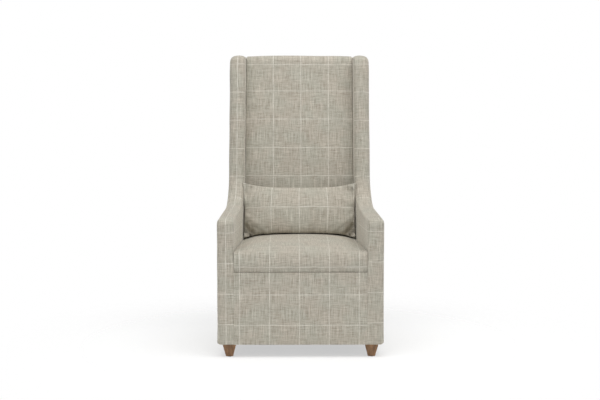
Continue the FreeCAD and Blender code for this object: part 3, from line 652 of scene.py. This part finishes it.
def seat():
    """Tight seat: lip over the apron, bulging front, rolled edge, crowned top, drawn in at the arms."""
    lip_y, lip_back_y, undercut, ledge = -0.35782, -0.338, 0.009, 0.004
    tuck_z, hidden_z = (0.3485, 0.354, LIP_Z), (0.44, 0.40, COVER_LOW_Z)
    mid_front_z, mid_crown_z, mid_back_z, crown_y = 0.448, 0.478, 0.470, -0.070
    side_drop, rear_gap, edge_r = 0.020, 0.003, 0.004
    # Each corner fold's reach inwards, its place along the profile and its depth
    folds = ((0.030, 0.062, 0.0030), (0.052, 0.100, 0.0018))
    fold_slant, fold_width = 0.035, 0.0065
    line_s = 0.0228
    rim_rows = slice(3, 70)
    half_0 = side_x(SIDE_T, 0.0)

    def rear(z):
        return inside_back_y(z) - rear_gap, z

    grid, cloth = [], []
    for share in crowded(150):
        x = share * side_x(SIDE_T + FIT_GAP, -0.1)
        drop = side_drop * min(1.0, abs(x) / half_0) ** 3
        tight = float(smooth(0.72, 1.0, abs(share)))
        front_z = mid_front_z - 0.25 * drop
        crown_z = mid_crown_z - drop - 0.008 * tight
        # Depth, fall and setback of the front roll, which tightens towards the arms
        roll_d, roll_drop, roll_back = 0.038 - 0.024 * tight, 0.028 - 0.019 * tight, 0.004 - 0.003 * tight
        tucked = [(lip_back_y, z) for z in tuck_z] + [(lip_y + undercut + ledge, LIP_Z)]
        lip = (lip_y + undercut, LIP_Z)
        bulge = (lip_y, LIP_Z + 0.038 + 0.006 * tight)
        shoulder = (lip_y + roll_back, front_z - roll_drop)
        roll_mid = (lip_y + roll_d / 3, front_z - roll_drop / 3.5)
        roll_end = (lip_y + roll_d, front_z + 0.003)
        profile = np.concatenate(
            [
                np.array(tucked),
                arc_through(lip, bulge, shoulder, 34),
                arc_through(shoulder, roll_mid, roll_end, 24)[1:],
                arc_through(roll_end, (crown_y, crown_z), rear(mid_back_z - drop), 76)[1:],
                np.array([rear(z) for z in hidden_z]),
            ]
        )
        s = arc_length(profile)
        s -= s[len(tucked)]
        half = side_x(SIDE_T + FIT_GAP, np.maximum(profile[:, 0], -0.36))
        d = half * (1 - abs(share))
        fall = edge_drop(d, edge_r) * smooth(-0.001, 0.01, s)
        # Two short folds run back and inwards from each front corner
        seen = (s > 0.0) & (profile[:, 1] > 0.37)
        for reach, dive, depth in folds:
            t = np.clip(d / reach, 0, 1)
            centre = dive + fold_slant * t
            fall = fall + seen * depth * np.exp(-(((s - centre) / fold_width) ** 2)) * (1 - t) ** 1.2
        yz = profile - normals(profile) * fall[:, None]
        grid.append(np.column_stack([share * half, yz]))
        cloth.append(np.stack([share * half + FRONT_LINE_X, s - line_s], 1))
    patches = [(np.array(grid), np.array(cloth))]
    for end in (0, -1):
        rim, weave = grid[end][rim_rows], cloth[end][rim_rows]
        sunk = rim.copy()
        sunk[:, 1] = np.maximum(rim[:, 1], lip_back_y)
        patches.append((np.stack([rim, sunk]), np.stack([weave, weave])))
    piece("seat", patches, ["seat_cover", "seat_foam"], 0.0012, 3)


# Inside back, apron and outside back


def inside_back():
    """Tight inside back: leaning, crowned across, rolled over at the top, drawn in along both wings."""
    side_fall, top_fall, edge_r, top_edge_r = 0.008, 0.0035, 0.005, 0.006
    top_r, rear_r, rear_low_z, turn_in = 0.030, 0.016, 1.15, 0.014
    stretch = 0.983
    half_0 = side_x(SIDE_T, 0.150)
    low_line, high_line = BACK_LINES_Z[0], BACK_LINES_Z[-1]
    lines_v = REPEAT_V * np.arange(len(BACK_LINES_Z))
    grid, cloth = [], []
    for share in crowded(140):
        d_edge = (1 - abs(share)) * half_0
        fall = side_fall * abs(share) ** 4 + edge_drop(d_edge, edge_r)
        top = HEIGHT - top_fall * share**2 - 0.5 * edge_drop(d_edge, top_edge_r)
        corners = [
            (inside_back_y(COVER_LOW_Z) + fall, COVER_LOW_Z, 0),
            (inside_back_y(top) + fall, top, top_r),
            (rear_y(REAR_PANEL_T, top), top, rear_r),
            (rear_y(REAR_PANEL_T, rear_low_z), rear_low_z, 0),
        ]
        profile, marks = rounded_path(corners, (190, 10, 16), (1, 18, 12, 1))
        s = arc_length(profile)
        xs = share * side_x(SIDE_T + FIT_GAP, profile[:, 0])
        grid.append(np.column_stack([xs, profile]))
        front = marks[1][0]
        up = profile[: front + 1, 1]
        v = np.interp(up, BACK_LINES_Z, lines_v)
        v = np.where(up < low_line, (up - low_line) / math.cos(INSIDE_LEAN), v)
        v = np.where(up > high_line, lines_v[-1] + up - high_line, v)
        v = np.concatenate([v, v[-1] + s[front + 1 :] - s[front]])
        cloth.append(np.stack([stretch * (xs - BACK_LINE_X), v], 1))
    # The left edge takes the rows of the weave from the column beside it
    cloth[0][:, 1] = cloth[1][:, 1]

    def turned_in(column, weave, sign):
        """The cover's edge, turned in along a wing."""
        yz = column[:, 1:] - turn_in * normals(column[:, 1:])
        x = sign * side_x(SIDE_T + FIT_GAP, yz[:, 0])
        return np.column_stack([x, yz]), weave + np.array([sign * turn_in, 0.0])

    left, right = turned_in(grid[0], cloth[0], -1), turned_in(grid[-1], cloth[-1], 1)
    grid = np.array([left[0], *grid, right[0]])
    cloth = np.array([left[1], *cloth, right[1]])
    piece("inside_back", [(grid, cloth)], ["inside_back_cover", "back_foam"], 0.0011, 5)


def apron():
    """Front apron between the arm fronts: a padded board with the cover drawn over its edges."""
    half = side_x(SIDE_T, ARM_FRONT_Y) - 0.0003
    z0, z1, edge_r, end_r = BASE_Z, 0.3585, 0.004, 0.0008
    swell, swell_reach, set_back, deepest = 0.0016, 0.09, 0.0002, 0.006
    line_z = 0.0098
    xs = panel_shares(edge_r, 2 * half, 90) - half
    zs = panel_shares(edge_r, z1 - z0, 56) + z0
    x, z = np.meshgrid(xs, zs)
    d_x, d_z = half - np.abs(x), np.minimum(z - z0, z1 - z)
    drop = np.minimum(edge_drop(d_x, end_r) + edge_drop(d_z, edge_r), deepest)
    y = ARM_FRONT_Y + set_back + drop - swell * smooth(0, swell_reach, d_x) * smooth(0, swell_reach, d_z)
    front = np.stack([x, y, z], -1)
    cloth = np.stack([x + FRONT_LINE_X, z - line_z], -1)
    patches = [(front, cloth)]
    back = np.array([0.0, 0.010, 0.0])
    for rim in (np.s_[0], np.s_[-1], np.s_[:, 0], np.s_[:, -1]):
        edge, weave = front[rim], cloth[rim]
        patches.append((np.stack([edge, edge + back]), np.stack([weave, weave])))
    piece("apron", patches, ["apron_cover", "apron_padding"], 0.0004, 7)


def outside_back():
    """Flat rear panel: thin padding under a cover, blind-tacked all round, rounded at its corners."""
    r_top, r_low, edge_r = OUTER_EDGE_R, HEM_R, 0.0035
    inset, swell, swell_reach, lift = 0.003, 0.0022, 0.12, 0.0005
    line_s = 0.05
    low, high = side_x(inset, REAR_BOTTOM_Y), side_x(inset, REAR_TOP_Y)
    ss = panel_shares(edge_r, REAR_LENGTH, 110)
    ss = np.sort(np.concatenate([ss, REAR_LENGTH - r_top * (1 - np.cos(np.linspace(0.2, 1.5, 8)))]))
    rows, cloth = [], []
    for s in ss:
        reach = low + (high - low) * s / REAR_LENGTH
        reach -= edge_drop(REAR_LENGTH - s, r_top) + edge_drop(s, r_low)
        x = panel_shares(edge_r, 2 * reach, 60) - reach
        d = np.minimum(reach - np.abs(x), min(s, REAR_LENGTH - s))
        n = edge_drop(d, edge_r) - swell * smooth(0, swell_reach, d)
        y = REAR_BOTTOM_Y + s * math.sin(REAR_LEAN) - n * math.cos(REAR_LEAN)
        z = REAR_BOTTOM_Z + lift + s * math.cos(REAR_LEAN) + n * math.sin(REAR_LEAN)
        rows.append(np.stack([x, y, z], -1))
        cloth.append(np.stack([x + BACK_LINE_X, np.full_like(x, s - line_s)], -1))
    patches = [(np.array(rows), np.array(cloth))]
    piece("outside_back", patches, ["outside_back_cover", "outside_back_padding"], 0.0006, 9)


# Lumbar pillow


def pillow():
    """Knife-edged pillow: two sheets held along one seam and blown up, then laid against the back."""
    nx, ny = 84, 42
    low_half, mid_half, high_half = 0.2525, 0.2495, 0.258
    below, above, low_ear, high_ear = 0.1025, 0.106, 0.026, 0.022
    stretch, line_x, line_y = 1.014, 0.0014, 0.0092
    rest_z, off_back, lean = 0.565, 0.067, INSIDE_LEAN + math.radians(6.0)
    us, vs = np.linspace(-1, 1, nx + 1), np.linspace(-1, 1, ny + 1)
    verts, faces = [], []
    index = {}

    def key(i, j, face):
        """Name of a sheet's point; the two sheets share the points of the seam."""
        return i, j, 0 if i in (0, nx) or j in (0, ny) else face

    def at(i, j, face):
        """Index of a sheet's point, which is made when it is first asked for."""
        name = key(i, j, face)
        if name not in index:
            index[name] = len(verts)
            u, v = us[i], vs[j]
            ear = abs(u) ** 3.5
            half = np.interp(v, [-1, 0, 1], [low_half, mid_half, high_half]) + 0.001 * abs(v) ** 6
            reach = above + high_ear * ear if v > 0 else below + low_ear * ear
            bulge = name[2] * 0.02 * (1 - u * u) ** 0.5 * (1 - v * v) ** 0.5
            verts.append((u * half, v * reach, bulge))
        return index[name]

    for face in (1, -1):
        for j in range(ny):
            for i in range(nx):
                ring = [at(a, b, face) for a, b in ((i, j), (i + 1, j), (i + 1, j + 1), (i, j + 1))]
                faces.append(ring if face > 0 else ring[::-1])
    weave = [(stretch * (x + line_x), y - line_y) for x, y, _ in verts]
    mesh = woven_mesh("pillow", verts, faces, weave)
    obj = linked("pillow", mesh)
    seam = obj.vertex_groups.new(name="seam")
    seam.add([n for (_, _, face), n in index.items() if face == 0], 1.0, "REPLACE")
    blow_up(obj, "seam", 40)

    # The filling evens out the sheets and sinks; the pillow is fullest low on its front
    co = np.array([v.co for v in mesh.vertices])
    for face, depth, sink in ((1, 0.055, 3.0), (-1, 0.060, -2.0)):
        ids = np.array([[index[key(i, j, face)] for j in range(ny + 1)] for i in range(nx + 1)])
        calm = relaxed(co[ids], 90)
        co[ids] = calm + 0.22 * (co[ids] - calm)
        z = co[ids][..., 2] * face
        low = 1.0 - sink * co[ids][..., 1]
        power = 0.55 - 0.24 * (face > 0) * smooth(0.0, 0.07, -co[ids][..., 1])
        co[ids, 2] = face * depth * low * (np.maximum(z, 0.0) / z.max()) ** power
    bend = 0.015 * smooth(0.15, 0.26, np.abs(co[:, 0])) * smooth(0.02, 0.12, co[:, 1])
    belly = smooth(0.012, 0.045, co[:, 2]) * smooth(0.03, 0.09, -co[:, 1])
    co[:, 1] -= 0.014 * belly
    co[:, 2] += bend
    up = np.array([0, math.sin(lean), math.cos(lean)])
    forward = np.array([0, -math.cos(lean), math.sin(lean)])
    middle = np.array([0, inside_back_y(rest_z), rest_z]) + forward * off_back
    placed = middle + np.outer(co[:, 1], up) + np.outer(co[:, 2], forward)
    placed[:, 0] += co[:, 0]
    move_points(mesh, placed)
    finer = obj.modifiers.new("finer", "SUBSURF")
    finer.levels = finer.render_levels = 1
    dress(obj, "pillow", ["pillow_cover", "pillow_insert"])


def relaxed(grid, rounds):
    """A grid of points drawn towards each other, with the outermost held."""
    grid = grid.copy()
    for _ in range(rounds):
        around = grid[:-2, 1:-1] + grid[2:, 1:-1] + grid[1:-1, :-2] + grid[1:-1, 2:]
        grid[1:-1, 1:-1] = 0.5 * grid[1:-1, 1:-1] + 0.125 * around
    return grid


def blow_up(obj, held, frames):
    """Blows a closed cloth up while its seam is held, and keeps the settled shape in its mesh."""
    scene = bpy.context.scene
    mod = obj.modifiers.new("cloth", "CLOTH")
    cloth = mod.settings
    cloth.quality = 6
    cloth.mass = 0.2
    cloth.air_damping = 5.0
    cloth.tension_stiffness = cloth.compression_stiffness = 30.0
    cloth.shear_stiffness = 15.0
    cloth.bending_stiffness = 6.0
    cloth.shrink_min = cloth.shrink_max = -0.06
    cloth.vertex_group_mass = held
    cloth.use_pressure = True
    cloth.uniform_pressure_force = 5.0
    cloth.effector_weights.gravity = 0.0
    mod.collision_settings.use_collision = False
    mod.point_cache.frame_start = 1
    mod.point_cache.frame_end = frames
    for f in range(1, frames + 1):
        scene.frame_set(f)
    shape = obj.evaluated_get(bpy.context.evaluated_depsgraph_get()).to_mesh()
    co = np.empty(len(shape.vertices) * 3)
    shape.vertices.foreach_get("co", co)
    obj.modifiers.remove(mod)
    move_points(obj.data, co)
    scene.frame_set(1)


# Stage


def surroundings():
    """White wherever it is seen, even in a reflection; dimmer as light, and dimmest from the sides."""
    front_light, side_light = 0.60, 0.10
    world = bpy.data.worlds.new("studio")
    bpy.context.scene.world = world
    world.use_nodes = True
    s = Nodes(world.node_tree)
    aside = s.math("ABSOLUTE", s.axes(s.node("TexCoord", "Generated"))[0])
    light = s.ranged(aside, 0.4, 0.95, front_light, side_light)
    seen = s.node("LightPath", "Is Camera Ray")
    for kind in ("Is Glossy Ray", "Is Transmission Ray"):
        seen = s.math("MAXIMUM", seen, s.node("LightPath", kind))
    sky = s.tree.nodes["Background"]
    s.put(sky, "Color", (1.0, 1.0, 1.0, 1.0))
    s.put(sky, "Strength", s.ranged(seen, 0.0, 1.0, light, 1.0, "LINEAR"))


def floor():
    """Pale disc under the chair, faint to the eye and clear towards its rim."""
    bpy.ops.mesh.primitive_circle_add(vertices=96, radius=2.6, fill_type="NGON", location=(0, 0, 0))
    disc = bpy.context.object
    disc.name = "floor"
    s = Shader("pale_floor")
    at = s.place()
    grain = s.noise(at, 40.0, 3.0)
    away = s.node("VectorMath", 1, {"operation": "LENGTH"}, Vector=at)
    faint = s.ranged(away, 0.5, 1.5, 0.45, 0.0)
    s.finish(
        Base_Color=s.mix(grain, (0.99, 0.99, 0.99, 1.0), (1.0, 1.0, 1.0, 1.0)),
        Roughness=0.9,
        Specular_IOR_Level=0.0,
        Alpha=s.between(s.node("LightPath", "Is Camera Ray"), 1.0, faint),
    )
    disc.data.materials.append(s.material)


def key_light():
    """One large soft light, above and in front."""
    light = bpy.data.lights.new("key", "AREA")
    light.shape = "RECTANGLE"
    light.size, light.size_y = 6.0, 3.0
    light.energy = 185.0
    place, aim = Vector((0.35, -1.8, 4.6)), Vector((0, 0, 0.7))
    lamp = linked("key", light)
    lamp.location = place
    lamp.rotation_euler = (aim - place).to_track_quat("-Z", "Y").to_euler()


def photo_camera():
    """The photo's view, fitted to the chair's outline and the check."""
    distance, height, aside = 4.7, 1.006, -0.0485
    tilt, turn = math.radians(4.21), math.radians(-0.56)
    camera = bpy.data.cameras.new("camera")
    camera.sensor_width = 36.0
    camera.lens = 68.5
    eye = linked("camera", camera)
    eye.location = (aside, ARM_FRONT_Y - distance, height)
    eye.rotation_euler = (math.pi / 2 - tilt, 0, turn)
    bpy.context.scene.camera = eye
    bpy.context.scene.view_settings.view_transform = "Standard"


# Build

cover = windowpane("cover_cloth")
beech = wood("frame_timber", rgb(168, 128, 88), rgb(214, 180, 138), 2, 0.6)
walnut = wood("foot_timber", rgb(96, 68, 44), rgb(152, 116, 81), 2, 0.42, 1.3)
finishes = (
    ("foot_front", walnut),
    ("foot_rear", walnut),
    ("foot_glides", nylon("glide_nylon")),
    ("foot_hanger_bolts", steel("zinc", rgb(196, 196, 190), 0.35)),
    ("foot_insert_nuts", steel("zinc_insert", rgb(190, 188, 176), 0.4)),
    ("corner_block_screws", steel("screw_steel", rgb(186, 184, 178), 0.38)),
    ("seat_springs", steel("spring_wire", rgb(150, 150, 152), 0.32)),
    ("spring_clips", steel("clip_steel", rgb(178, 176, 170), 0.42)),
    ("spring_tie_wires", steel("tie_wire", rgb(142, 142, 142), 0.4)),
    ("seat_insulator", matted("felt", rgb(96, 92, 88), rgb(150, 145, 138), 420.0, 0.001)),
    ("back_webbing", plain_weave("webbing", rgb(128, 98, 62), rgb(188, 156, 110), 0.0026)),
    ("dust_cover", plain_weave("dust_cloth", rgb(22, 22, 23), rgb(44, 44, 46), 0.0012)),
    ("apron_board", ply("plywood")),
    ("frame_dowels", wood("dowel_timber", rgb(176, 138, 98), rgb(220, 188, 148), 0, 0.6)),
)
for node_name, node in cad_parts.items():
    finish = next((m for prefix, m in finishes if node_name.startswith(prefix)), beech)
    node.data.materials.clear()
    node.data.materials.append(finish)

side(-1, "left")
side(1, "right")
inside_back()
seat()
apron()
outside_back()
pillow()
surroundings()
floor()
key_light()
photo_camera()
